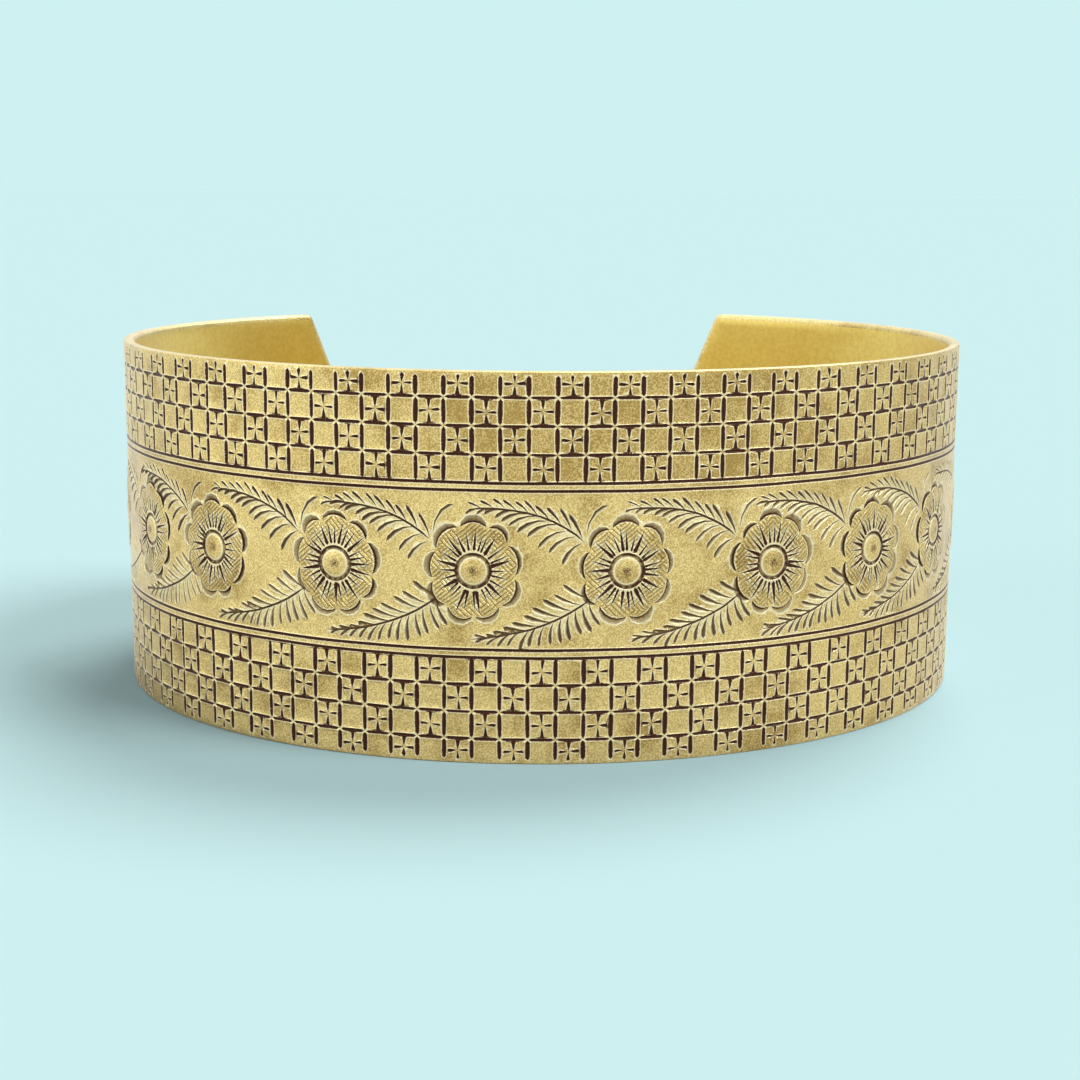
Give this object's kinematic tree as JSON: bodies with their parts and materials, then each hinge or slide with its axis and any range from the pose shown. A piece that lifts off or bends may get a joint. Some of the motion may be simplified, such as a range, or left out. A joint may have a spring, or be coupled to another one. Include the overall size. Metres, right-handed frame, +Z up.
{
  "type": "cuff bracelet",
  "caption": "Open oval cuff bracelet bent from one strip of patterned brass, with check borders along both rims and a row of flowers between them.",
  "frame": {"origin": "middle of the cuff's footprint, on the surface that its lower rim stands on", "axes": "+Z up, along the band's height; +X across the wrist, to the right seen from the front; the gap between the ends faces +Y"},
  "size_m": [0.0632, 0.0534, 0.0254],
  "materials": {
    "brass": "antique satin, dark patina in the recesses"
  },
  "bodies": {
    "root": {"cuff_band": "brass"}
  },
  "joints": []
}
